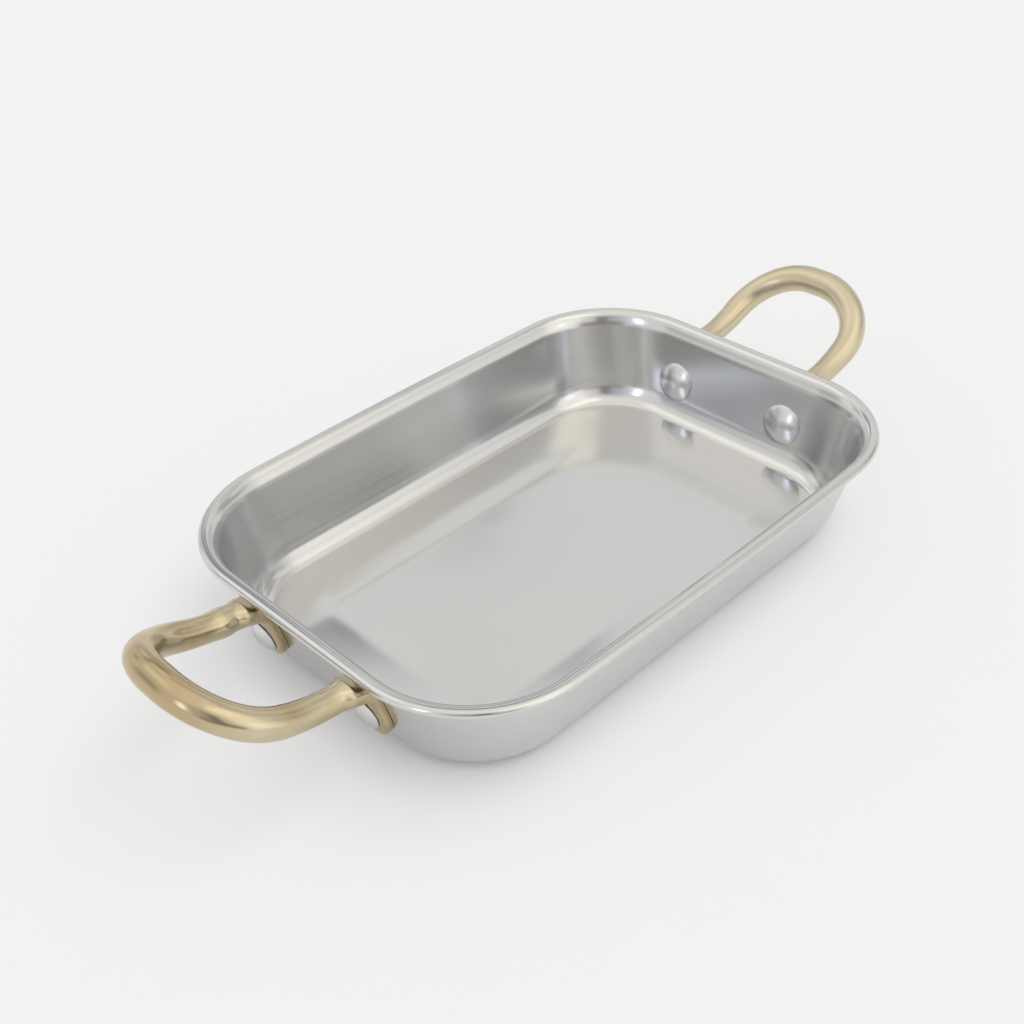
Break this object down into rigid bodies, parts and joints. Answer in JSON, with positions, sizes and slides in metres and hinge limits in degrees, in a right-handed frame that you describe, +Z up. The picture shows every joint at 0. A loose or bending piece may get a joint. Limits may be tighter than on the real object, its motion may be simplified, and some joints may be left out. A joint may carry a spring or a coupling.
{
  "type": "baking dish",
  "caption": "Small rectangular steel baking and roasting dish with rounded corners, a flat flange with a curled rim, and riveted cast brass bail handles at its ends.",
  "frame": {"origin": "under the middle of the dish's floor, on the surface that it stands on", "axes": "+X along the dish from the left handle to the right one, +Y across it towards the back, +Z up"},
  "size_m": [0.23, 0.1128, 0.0398],
  "materials": {
    "pan_steel": "satin polished stainless steel",
    "handle_brass": "polished cast brass",
    "rivet_steel": "polished stainless steel"
  },
  "bodies": {
    "root": {"pan_body": "pan_steel", "handle_right": "handle_brass", "handle_left": "handle_brass", "rivet_right_front": "rivet_steel", "rivet_right_back": "rivet_steel", "rivet_left_front": "rivet_steel", "rivet_left_back": "rivet_steel"}
  },
  "joints": []
}
